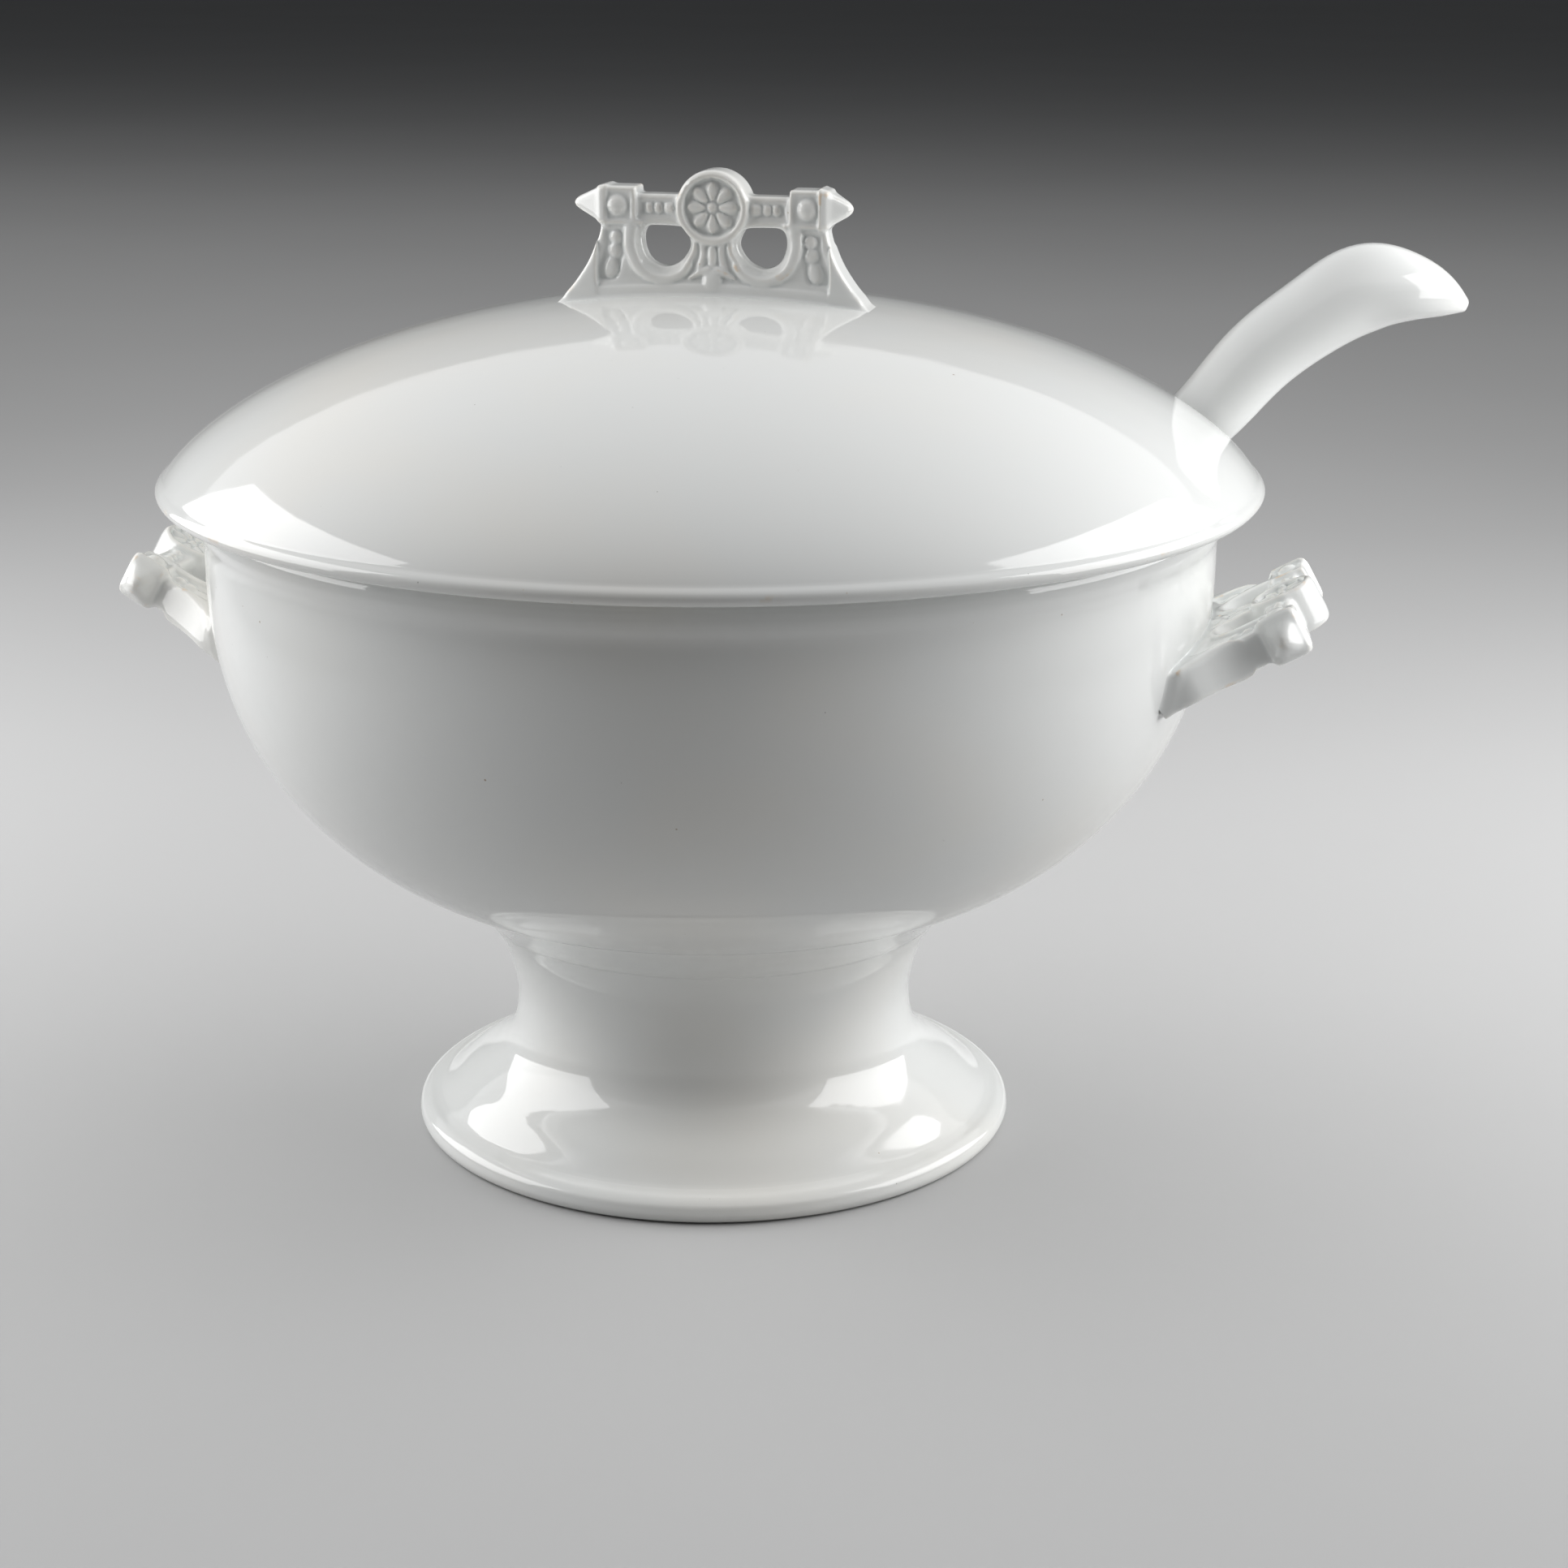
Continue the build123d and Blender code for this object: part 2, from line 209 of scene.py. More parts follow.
def outwards(mesh):
    """Turns every face of a closed mesh outwards."""
    form = bmesh.new()
    form.from_mesh(mesh)
    bmesh.ops.recalc_face_normals(form, faces=form.faces)
    if form.calc_volume(signed=True) < 0:
        bmesh.ops.reverse_faces(form, faces=form.faces)
    form.to_mesh(mesh)
    form.free()


def feel_edges(mesh):
    """Stores how proud or how hollow the surface is at each point, for the glaze to follow."""
    count = len(mesh.vertices)
    place, normal = np.zeros(count * 3), np.zeros(count * 3)
    mesh.vertices.foreach_get("co", place)
    mesh.vertices.foreach_get("normal", normal)
    place, normal = place.reshape(-1, 3), normal.reshape(-1, 3)
    ends = np.zeros(len(mesh.edges) * 2, np.int64)
    mesh.edges.foreach_get("vertices", ends)
    ends = ends.reshape(-1, 2)
    total, seen = np.zeros(count), np.zeros(count)
    for a, b in ((ends[:, 0], ends[:, 1]), (ends[:, 1], ends[:, 0])):
        step = place[b] - place[a]
        length = np.maximum((step ** 2).sum(1), 1e-12)
        np.add.at(total, a, -2 * (normal[a] * step).sum(1) / length)
        np.add.at(seen, a, 1)
    bend = total / np.maximum(seen, 1)
    for _ in range(3):
        spread, shared = bend.copy(), np.ones(count)
        np.add.at(spread, ends[:, 0], bend[ends[:, 1]])
        np.add.at(spread, ends[:, 1], bend[ends[:, 0]])
        np.add.at(shared, ends[:, 0], 1)
        np.add.at(shared, ends[:, 1], 1)
        bend = spread / shared
    for label, values in (("edge", bend / 900), ("hollow", -bend / 700)):
        layer = mesh.attributes.new(label, "FLOAT", "POINT")
        layer.data.foreach_set("value", np.clip(values, 0, 1))


def glaze_group():
    """Shader group for the glaze: tint, pooling in hollows, thin edges, kiln specks and pinholes."""
    tree = bpy.data.node_groups.new("white_glaze_surface", "ShaderNodeTree")
    sockets = tree.interface.new_socket
    for label, value in (("Specks", 0.4), ("Stain", 0.3), ("Pooling", 0.4), ("Ripple", 1.0)):
        sockets(label, in_out="INPUT", socket_type="NodeSocketFloat").default_value = value
    sockets("Color", in_out="OUTPUT", socket_type="NodeSocketColor")
    sockets("Roughness", in_out="OUTPUT", socket_type="NodeSocketFloat")
    sockets("Height", in_out="OUTPUT", socket_type="NodeSocketFloat")
    node, link = tree.nodes.new, tree.links.new
    given, made = node("NodeGroupInput"), node("NodeGroupOutput")
    where = node("ShaderNodeTexCoord").outputs["Object"]

    def maths(operation, a, b=None, c=None, clamp=False):
        step = node("ShaderNodeMath")
        step.operation = operation
        step.use_clamp = clamp
        for socket, value in zip(step.inputs, (a, b, c)):
            if isinstance(value, (int, float)):
                socket.default_value = value
            elif value is not None:
                link(value, socket)
        return step.outputs[0]

    def ramp(value, low, high):
        step = node("ShaderNodeMapRange")
        step.interpolation_type = "SMOOTHSTEP"
        link(value, step.inputs["Value"])
        step.inputs["From Min"].default_value = low
        step.inputs["From Max"].default_value = high
        return step.outputs["Result"]

    def noise(scale, detail=2.0, roughness=0.5):
        step = node("ShaderNodeTexNoise")
        link(where, step.inputs["Vector"])
        step.inputs["Scale"].default_value = scale
        step.inputs["Detail"].default_value = detail
        step.inputs["Roughness"].default_value = roughness
        return step.outputs["Fac"]

    def attribute(label):
        step = node("ShaderNodeAttribute")
        step.attribute_name = label
        return step.outputs["Fac"]

    def tinted(factor, base, colour):
        step = node("ShaderNodeMix")
        step.data_type = "RGBA"
        link(factor, step.inputs["Factor"])
        for socket, value in ((step.inputs["A"], base), (step.inputs["B"], colour)):
            if isinstance(value, tuple):
                socket.default_value = (*value, 1)
            else:
                link(value, socket)
        return step.outputs["Result"]

    def dots(scale, radius, share):
        """Round dots scattered through the clay, of which a share of the cells has one."""
        cells = node("ShaderNodeTexVoronoi")
        cells.inputs["Scale"].default_value = scale
        link(where, cells.inputs["Vector"])
        chance = node("ShaderNodeSeparateColor")
        link(cells.outputs["Color"], chance.inputs[0])
        size = maths("MULTIPLY", maths("MULTIPLY_ADD", chance.outputs[1], 0.8, 0.4), radius * scale)
        inside = maths("SUBTRACT", 1.0, maths("DIVIDE", cells.outputs["Distance"], size), clamp=True)
        return maths("MULTIPLY", ramp(inside, 0.0, 0.5), maths("LESS_THAN", chance.outputs[0], share))

    edge, hollow = attribute("edge"), attribute("hollow")
    cool, warm = (0.775, 0.785, 0.775), (0.80, 0.785, 0.745)
    deep_glaze, thin_glaze, bare_clay = (0.57, 0.61, 0.61), (0.83, 0.79, 0.72), (0.68, 0.53, 0.38)
    brown_speck, grey_speck, rim_stain = (0.33, 0.22, 0.13), (0.34, 0.34, 0.32), (0.50, 0.37, 0.24)
    colour = tinted(ramp(noise(9.0, 3.0), 0.42, 0.78), cool, warm)
    pooled = maths("MULTIPLY", ramp(hollow, 0.08, 0.75), given.outputs["Pooling"])
    colour = tinted(pooled, colour, deep_glaze)
    thin = maths("MULTIPLY", ramp(edge, 0.15, 0.70), 0.35)
    colour = tinted(thin, colour, thin_glaze)
    worn = maths("MULTIPLY", ramp(edge, 0.20, 0.50), ramp(noise(110.0, 3.0, 0.6), 0.60, 0.68))
    worn = maths("MULTIPLY", worn, given.outputs["Stain"], clamp=True)
    colour = tinted(worn, colour, bare_clay)
    brown = maths("MULTIPLY", dots(75.0, 0.00034, 0.55), given.outputs["Specks"])
    grey = maths("MULTIPLY", dots(140.0, 0.00022, 0.50), given.outputs["Specks"])
    rim = maths("MULTIPLY", dots(230.0, 0.00030, 0.75), ramp(edge, 0.10, 0.45))
    colour = tinted(brown, colour, brown_speck)
    colour = tinted(grey, colour, grey_speck)
    colour = tinted(maths("MULTIPLY", rim, given.outputs["Stain"]), colour, rim_stain)
    link(colour, made.inputs["Color"])

    haze = ramp(noise(26.0, 4.0, 0.65), 0.40, 0.80)
    rough = maths("MULTIPLY_ADD", haze, 0.055, 0.05)
    rough = maths("MULTIPLY_ADD", worn, 0.45, rough)
    link(rough, made.inputs["Roughness"])

    ripple = maths("MULTIPLY", noise(55.0, 1.0), 0.055)
    dimple = maths("MULTIPLY", noise(240.0, 1.0), 0.006)
    surface = maths("MULTIPLY", maths("ADD", ripple, dimple), given.outputs["Ripple"])
    pits = maths("MULTIPLY", dots(110.0, 0.00020, 0.4), -0.10)
    link(maths("ADD", maths("ADD", surface, pits), maths("MULTIPLY", brown, 0.03)), made.inputs["Height"])
    return tree


glaze_surface = glaze_group()


def glaze(name, specks=0.8, stain=0.6, pooling=0.45, ripple=1.0):
    """A white glaze for one piece."""
    material = bpy.data.materials.new(name)
    material.use_nodes = True
    nodes, link = material.node_tree.nodes, material.node_tree.links.new
    shader = nodes["Principled BSDF"]
    shader.inputs["IOR"].default_value = 1.52
    surface = nodes.new("ShaderNodeGroup")
    surface.node_tree = glaze_surface
    for label, value in (("Specks", specks), ("Stain", stain), ("Pooling", pooling), ("Ripple", ripple)):
        surface.inputs[label].default_value = value
    link(surface.outputs["Color"], shader.inputs["Base Color"])
    link(surface.outputs["Roughness"], shader.inputs["Roughness"])
    bump = nodes.new("ShaderNodeBump")
    bump.inputs["Distance"].default_value = mm
    link(surface.outputs["Height"], bump.inputs["Height"])
    link(bump.outputs["Normal"], shader.inputs["Normal"])
    return material


def fit(obj, body, *nodes):
    """Gives a piece its body and lets it stand for its CAD nodes."""
    feel_edges(obj.data)
    obj.data.shade_smooth()
    obj.data.set_sharp_from_angle(angle=radians(55))
    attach(obj, body)
    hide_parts(*nodes)


bead_inner = Vector((foot_radius - 6.2 * mm, 7.3 * mm))
side = through([
    bead_inner, (70.9 * mm, 8.9 * mm), (66.9 * mm, 12.1 * mm), (58.9 * mm, 18.0 * mm), (54.0 * mm, 24.3 * mm),
    (waist_radius, 33.0 * mm), (53.0 * mm, 41.0 * mm), (56.2 * mm, 51.0 * mm),
    Vector((joint_radius, joint_height)),
], 1.6 * mm)
ring_outer = foot_radius - foot_round
ring_inner = ring_outer - 5.0 * mm
bead = arc((foot_radius - foot_round, foot_round), foot_round, -90, 0)
bead += through([
    (foot_radius, 3.0 * mm), (foot_radius - 0.6 * mm, 4.9 * mm), (foot_radius - 2.4 * mm, bead_height),
    (foot_radius - 4.4 * mm, 6.7 * mm), bead_inner,
], 0.5 * mm)[1:]
inside = through([
    (joint_radius - foot_wall, joint_height), (50.2 * mm, 51.0 * mm), (47.0 * mm, 41.0 * mm),
    (waist_radius - foot_wall, 33.0 * mm), (48.2 * mm, 24.3 * mm), (53.5 * mm, 17.5 * mm),
    (61.5 * mm, 10.0 * mm), (67.5 * mm, 4.5 * mm), (ring_inner - 0.5 * mm, 1.2 * mm), (ring_inner, 0),
], 2.0 * mm)
outline = bead + side[1:] + inside + [Vector((ring_outer, 0))]
foot = throw("foot", outline, glaze("foot_glaze", stain=0.7))
fit(foot, "tureen", "pedestal_foot")

# ---- Bowl ----
# The round body, cast in white earthenware with a small collar under its rounded rim. Its walls fill
# out like a squared circle and run down into the foot in one smooth cove.

bowl_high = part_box("bowl")[1]
collar_radius = bowl_high.x
rim_top = bowl_high.z
bowl_radius = collar_radius - 1.4 * mm
rim_thickness = 7.5 * mm
bowl_floor = 8.0 * mm
collar_height = 8.0 * mm
shoulder = rim_top - 15.0 * mm
curve_depth = shoulder - joint_height + 2 * mm
floor_depth = shoulder - joint_height - bowl_floor
fullness = 2.35              # 2 is an ellipse, and more is squarer


def bowl_curve(radius, depth, low_share=1.0, spacing=2.4 * mm):
    """Points down the bowl's curve, from its widest point to a share of its depth."""
    power = 2 / fullness
    last = pi / 2 if low_share == 1.0 else atan2(low_share ** (1 / power), sqrt(1 - low_share ** fullness))
    steps = round((radius + depth) / spacing)
    turns = [last * i / steps for i in range(steps + 1)]
    return [Vector((radius * abs(cos(t)) ** power, shoulder - depth * sin(t) ** power)) for t in turns]


def bowl_radius_at(height):
    """Outer radius of the bowl at a height, or at each of many."""
    share = np.clip((shoulder - height) / curve_depth, 0, 0.98)
    return bowl_radius * (1 - share ** fullness) ** (1 / fullness)


cove = through([
    (joint_radius - 3 * mm, joint_height - 5.5 * mm), (joint_radius, joint_height),
    (63.6 * mm, 61.2 * mm), (69.6 * mm, 65.6 * mm), (79.6 * mm, 72 * mm),
], 1.2 * mm)
cove = [p for p in cove if p.y >= joint_height and p.x < 79.0 * mm]
wall_out = [p for p in bowl_curve(bowl_radius, curve_depth, 0.9) if p.x > 80 * mm]
wall_out.reverse()
collar_base = rim_top - collar_height
rim_centre = (collar_radius - rim_thickness / 2, rim_top - rim_thickness / 2)
collar = through([
    (bowl_radius, shoulder + 2 * mm), (bowl_radius + 0.05 * mm, collar_base - 2.8 * mm),
    (bowl_radius + 0.35 * mm, collar_base - 0.9 * mm), (bowl_radius + 1.0 * mm, collar_base + 0.8 * mm),
    (collar_radius, collar_base + 2.6 * mm), (collar_radius, rim_centre[1]),
], 0.6 * mm)
rim = arc(rim_centre, rim_thickness / 2, 0, 180)
mouth_radius = collar_radius - rim_thickness
wall_in = bowl_curve(mouth_radius, floor_depth)
wall_in[-1] = Vector((0, joint_height + bowl_floor))
outline = [Vector((0, joint_height))] + cove + wall_out + collar + rim[1:] + wall_in
bowl = throw("bowl_body", outline, glaze("bowl_glaze", stain=0.5))
fit(bowl, "tureen", "bowl")

# ---- Side handles ----
# Two pierced grips in white earthenware, moulded with a rosette, corner blocks and scrolls, and luted
# to the bowl's shoulders with slip. The moulding along the root follows the bowl, and so does the slip.

grip_height = 27.0 * mm
block_centre = Vector((24.5, 24.2)) * mm
block_half = 5.05 * mm
block_rise = 4.7 * mm
rosette_centre = Vector((0.0, 24.1)) * mm
grain = 0.36 * mm


def softer_max(a, b, round_by):
    """The larger of two fields, with the edge between them rounded over."""
    mix = np.clip(0.5 + 0.5 * (a - b) / round_by, 0, 1)
    return b + (a - b) * mix + round_by * mix * (1 - mix)


def softer_min(a, b, round_by):
    return -softer_max(-a, -b, round_by)


def eased(value, low, high):
    """0 below low, 1 above high and smooth between them."""
    share = np.clip((value - low) / (high - low), 0, 1)
    return share * share * (3 - 2 * share)


def from_path(u, v, path):
    """How far each point is from a path, and how far along the path it is, from 0 to 1."""
    nearest, along = np.full(u.shape, 1.0), np.zeros(u.shape)
    for i, (a, b) in enumerate(zip(path, path[1:])):
        run = b - a
        share = np.clip(((u - a.x) * run.x + (v - a.y) * run.y) / max(run.length_squared, 1e-12), 0, 1)
        gap = np.hypot(u - a.x - share * run.x, v - a.y - share * run.y)
        closer = gap < nearest
        nearest = np.where(closer, gap, nearest)
        along = np.where(closer, (i + share) / (len(path) - 1), along)
    return nearest, along


def from_outline(u, v, outline):
    """Distance outside a closed outline, negative inside it."""
    gap, _ = from_path(u, v, outline + outline[:1])
    inside = np.zeros(u.shape, bool)
    for a, b in zip(outline, outline[1:] + outline[:1]):
        if a.y != b.y:
            crossing = a.x + (v - a.y) * (b.x - a.x) / (b.y - a.y)
            inside ^= ((a.y > v) != (b.y > v)) & (u < crossing)
    return np.where(inside, -gap, gap)


def ridge(u, v, knots, width, height, taper=0.0):
    """A raised rounded strip along a path, its end narrowed by taper."""
    gap, along = from_path(u, v, through([Vector(k) * mm for k in knots], 0.8 * mm))
    half = width * mm * (1 - taper * along)
    return height * mm * np.sqrt(np.clip(1 - (gap / half) ** 2, 0, 1))


def bud(u, v, centre, length, width, height, turn=0.0):
    """A raised oval button, length and width being its half axes."""
    c, s = cos(radians(turn)), sin(radians(turn))
    x, y = u - centre[0] * mm, v - centre[1] * mm
    across, along = (x * c + y * s) / (width * mm), (y * c - x * s) / (length * mm)
    return height * mm * np.sqrt(np.clip(1 - across ** 2 - along ** 2, 0, 1))


def piercing():
    """The hole beside the stem: nearly flat above, round below, with a point towards the stem."""
    knots = ((12.5, 19.2), (17.3, 18.8), (18.5, 15.2), (16.8, 10.8), (12.8, 9.0),
             (8.7, 10.5), (6.1, 14.4), (7.1, 17.8), (8.4, 18.9), (12.5, 19.2))
    return through([Vector(k) * mm for k in knots], 0.6 * mm)[:-1]


def grip_plan(u, v, rosette):
    """Distance outside the grip's plan, with its piercings, and the hollow round their edges."""
    side = abs(u)
    knots = ((28.9, 19.4), (29.5, 16.6), (30.6, 13.4), (32.3, 9.8), (34.5, 6.4),
             (36.9, 3.2), (38.4, 0.6), (39.0, -3.0), (39.0, -12.0))
    flare = through([Vector(k) * mm for k in knots], 0.5 * mm)
    plate = [Vector((-1 * mm, grip_height)), Vector((28.0 * mm, grip_height))] + flare + [
        Vector((-1 * mm, -12 * mm))]
    plan = from_outline(side, v, plate)
    block = np.maximum(abs(side - block_centre.x) - block_half, abs(v - block_centre.y) - block_rise)
    disc = np.hypot(u, v - rosette_centre.y) - rosette
    holes = np.maximum(from_outline(side, v, piercing()), -(disc + 0.3 * mm))
    solid = softer_min(softer_min(plan, block, 0.5 * mm), disc, 0.8 * mm)
    return softer_max(solid, -holes, 0.5 * mm), holes


def grip_relief(u, v, level, block_level, rosette, depth):
    """How far one face of the grip stands out from its middle plane. Depth is the panels' depth."""
    side = abs(u)
    _, holes = grip_plan(u, v, rosette)
    face = level - 0.9 * mm * (1 - eased(holes, 0.0, 1.3 * mm))

    # The bar beside the rosette and the legs are panelled, with beads and leaves in the panels.
    bar = np.maximum(abs(side - 14.6 * mm) - 4.2 * mm, abs(v - 23.6 * mm) - 2.0 * mm)
    knots = ((22.8, 18.2), (27.6, 18.2), (28.1, 14.4), (29.9, 9.6), (32.2, 5.9),
             (28.6, 4.6), (24.6, 5.6), (23.2, 9.6), (22.8, 14.0), (22.8, 18.2))
    leg = through([Vector(k) * mm for k in knots], mm)[:-1]
    panels = np.minimum(bar, from_outline(side, v, leg))
    face = face - depth * (1 - eased(panels, -0.9 * mm, 0.4 * mm))
    raised = np.zeros(u.shape)
    for centre, size in (((11.2, 23.7), 1.45), ((13.9, 23.7), 1.2), ((16.2, 23.7), 1.1)):
        raised = np.maximum(raised, bud(side, v, centre, 1.5, size, 1.1))
    for centre, length, width, turn in (((24.8, 16.2), 1.7, 1.7, 0), ((25.1, 12.8), 1.9, 1.8, 8),
                                        ((26.2, 8.6), 2.8, 1.9, 16)):
        raised = np.maximum(raised, bud(side, v, centre, length, width, 1.1, turn))

    # Scrolls run under the piercings, and a stem with a trefoil stands between them.
    scroll = ((21.0, 18.6), (21.3, 14.6), (19.4, 9.4), (15.6, 6.6), (11.4, 6.2), (7.8, 7.8), (6.2, 10.0))
    raised = np.maximum(raised, ridge(side, v, scroll, 1.75, 1.1, 0.35))
    raised = np.maximum(raised, ridge(side, v, ((6.4, 10.2), (4.6, 13.4), (4.5, 15.6)), 0.8, 0.8))
    raised = np.maximum(raised, ridge(side, v, ((20.9, 18.4), (19.9, 20.2), (18.4, 19.9)), 1.0, 0.9, 0.4))
    raised = np.maximum(raised, ridge(side, v, ((2.6, 15.6), (2.3, 12.0), (3.3, 9.0)), 0.9, 0.7))
    raised = np.maximum(raised, bud(u, v, (0, 12.2), 3.2, 1.2, 1.0))
    raised = np.maximum(raised, bud(u, v, (0, 6.0), 3.0, 2.5, 1.5))
    raised = np.maximum(raised, ridge(side, v, ((1.2, 8.4), (3.2, 8.0), (5.8, 6.6)), 1.4, 1.1, 0.8))

    # Corner blocks with a stud in a square panel, tapered to blunt points outside.
    reach = side - (block_centre.x + block_half)
    x, y = side - block_centre.x + 0.2 * mm, v - block_centre.y
    square = np.maximum(abs(x), abs(y)) - 3.8 * mm
    block = block_level - depth * (1 - eased(square, -0.6 * mm, 0.3 * mm))
    block = np.maximum(block, block_level - depth + bud(x, y, (0, 0), 2.5, 2.5, 1.5))
    within = -np.maximum(abs(side - block_centre.x) - block_half, abs(y) - block_rise)
    in_block = eased(within, -0.2 * mm, 0.2 * mm)
    face = np.where(reach > -0.01 * mm, block_level, face * (1 - in_block) + block * in_block)
    raised = raised * (1 - in_block)

    # The rosette: a rolled ring round eight petals.
    x, y = u, v - rosette_centre.y
    away, turn = np.hypot(x, y), np.arctan2(y, x)
    from_roll = (away - rosette + 1.05 * mm) / (1.2 * mm)
    rolled = block_level - 0.9 * mm + 1.4 * mm * np.sqrt(np.clip(1 - from_roll ** 2, 0, 1))
    dish = block_level - 1.3 * mm
    petal = (turn + pi / 8 + pi) % (pi / 4) - pi / 8
    tip, across = away * np.cos(petal), away * np.sin(petal)
    width = 0.29 * np.clip(tip, 0, 4.6 * mm) + 0.35 * mm
    end = np.sqrt(np.clip(1 - ((tip - 4.0 * mm) / (2.3 * mm)) ** 2, 0, 1))
    leaf = 1.2 * mm * np.sqrt(np.clip(1 - (across / np.maximum(width * end, 1e-6)) ** 2, 0, 1)) * (end > 0)
    flower = dish + np.maximum(leaf, bud(x, y, (0, 0), 1.3, 1.3, 1.3))
    rose = np.where(away < rosette - 2.1 * mm, flower, rolled)
    in_rose = 1 - eased(away, rosette - 0.15 * mm, rosette + 0.15 * mm)
    return (face + raised) * (1 - in_rose) + rose * in_rose


def skin(field, low, step):
    """A closed mesh over the places where a field on a grid is zero, with the field negative inside."""
    cells = tuple(n - 1 for n in field.shape)
    total, cuts = np.zeros((*cells, 3)), np.zeros(cells)

    def shifted(corner):
        return field[tuple(slice(c, c + n) for c, n in zip(corner, cells))]

    for corner in [(i, j, k) for i in (0, 1) for j in (0, 1) for k in (0, 1)]:
        for axis in (a for a in range(3) if not corner[a]):
            other = tuple(c + (i == axis) for i, c in enumerate(corner))
            a, b = shifted(corner), shifted(other)
            cut = (a < 0) != (b < 0)
            share = np.where(cut, a / np.where(cut, a - b, 1), 0)
            for i in range(3):
                total[..., i] += cut * corner[i] + (share if i == axis else 0)
            cuts += cut
    used = cuts > 0
    places = np.argwhere(used) + total[used] / cuts[used][:, None]
    number = np.full(cells, -1)
    number[used] = np.arange(len(places))
    faces = []
    for axis in range(3):
        second, third = (axis + 1) % 3, (axis + 2) % 3
        first = np.moveaxis(field, (axis, second, third), (0, 1, 2))
        order = np.moveaxis(number, (axis, second, third), (0, 1, 2))
        here, there = first[:-1, 1:-1, 1:-1] < 0, first[1:, 1:-1, 1:-1] < 0
        around = [order[:, :-1, :-1], order[:, 1:, :-1], order[:, 1:, 1:], order[:, :-1, 1:]]
        for rising, turn in ((here & ~there, 1), (~here & there, -1)):
            faces.append(np.stack([a[rising] for a in around[::turn]], axis=1))
    mesh = bpy.data.meshes.new("skin")
    mesh.from_pydata(np.array(low) + places * step, [], np.concatenate(faces).tolist())
    return mesh


def eased_mesh(mesh, rounds):
    """Smooths a mesh as glaze does when it melts."""
    count = len(mesh.vertices)
    place, ends = np.zeros(count * 3), np.zeros(len(mesh.edges) * 2, np.int64)
    mesh.vertices.foreach_get("co", place)
    mesh.edges.foreach_get("vertices", ends)
    place, ends = place.reshape(-1, 3), ends.reshape(-1, 2)
    shared = np.bincount(ends.ravel(), minlength=count)[:, None]
    for _ in range(rounds):
        total = np.zeros((count, 3))
        for axis in range(3):
            total[:, axis] = (np.bincount(ends[:, 0], place[ends[:, 1], axis], count)
                              + np.bincount(ends[:, 1], place[ends[:, 0], axis], count))
        place = 0.5 * place + 0.5 * total / shared
    mesh.vertices.foreach_set("co", place.ravel())
    mesh.update()


def mould_grip(name, to_world, above, half, root, depth, points, melt, block=5.0 * mm, rosette=9.3 * mm,
               hollow=0.0, low=-4 * mm):
    """A grip in its own frame, across, through and up, set in place by to_world.

    above gives how far points stand off the ware that it is luted to. half, root and block are half the
    thickness of its plate, root and blocks, depth is the panels' depth, points is how far its two points
    reach, melt is how much the glaze has rounded it, and hollow is how far its first face is dished.
    """
    spans = ((-42.5 * mm, 42.5 * mm), (-7.6 * mm, 7.6 * mm), (low, 35 * mm))
    steps = [np.arange(a, b, grain) for a, b in spans]
    u, v = np.meshgrid(steps[0], steps[2], indexing="ij")
    plan, _ = grip_plan(u, v, rosette)
    relief = grip_relief(u, v, half, block, rosette, depth)
    dished = hollow * (1 - eased(v, 0, 15 * mm)) * (1 - 0.35 * eased(abs(u), 20 * mm, 36 * mm))
    through_steps = steps[1][None, :, None]
    back = through_steps - relief[:, None, :]
    front = -through_steps - (relief - dished)[:, None, :]
    grip = softer_max(softer_max(back, front, 0.6 * mm), plan[:, None, :], 1.1 * mm * melt)

    # Blunt points on the outer ends of the blocks.
    for side, length in ((-1, points[0] * mm), (1, points[1] * mm)):
        reach = (side * u - (block_centre.x + 4.6 * mm))[:, None, :]
        shrink = (1 - reach / (length + 1.4 * mm))
        tall = abs(v - block_centre.y)[:, None, :] - 4.4 * mm * shrink
        deep = abs(through_steps) - (block - 0.4 * mm) * shrink
        spike = softer_max(softer_max(tall, deep, 1.3 * mm * melt), reach - length, 1.6 * mm * melt)
        spike = np.maximum(spike, -reach - 2 * mm)
        grip = softer_min(grip, spike, 0.6 * mm * melt)

    # The moulding along the root, and the slip that was wiped round it.
    grid = np.stack(np.meshgrid(*steps, indexing="ij"), axis=-1)
    stand = above(grid @ np.array(to_world.to_3x3().transposed()) + np.array(to_world.translation))
    width = root + 0.9 * mm * np.exp(-np.clip(stand, -1 * mm, None) / (0.55 * mm))
    off = (dished * 0.4)[:, None, :]
    ends = (np.abs(u) - np.interp(v, [0, 5 * mm], [39.2 * mm, 36.0 * mm]))[:, None, :] - (width - root)
    band = softer_max(abs(through_steps - off) - width, stand - 3.1 * mm, 1.3 * mm)
    band = softer_max(band, ends, 1.2 * mm)
    step_in = softer_max(abs(through_steps - off) - (root - 0.9 * mm), stand - 4.3 * mm, 0.8 * mm)
    band = softer_min(band, softer_max(step_in, ends + 1 * mm, 0.8 * mm), 0.4 * mm)
    grip = softer_min(grip, band, 0.7 * mm)
    grip = np.maximum(grip, -stand - 1.6 * mm)

    mesh = skin(grip, [s[0] for s in steps], grain)
    eased_mesh(mesh, round(5 * melt))
    mesh.transform(to_world)
    mesh.name = name
    return added(name, mesh)


rise = radians(29)
root_height = rim_top - 37.2 * mm
root_radius = bowl_radius_at(root_height) - 0.3 * mm
handle_frame = Matrix(((0, -sin(rise), cos(rise), root_radius), (1, 0, 0, 0),
                       (0, cos(rise), sin(rise), root_height), (0, 0, 0, 1)))


def above_bowl(points):
    return np.hypot(points[..., 0], points[..., 1]) - bowl_radius_at(points[..., 2])


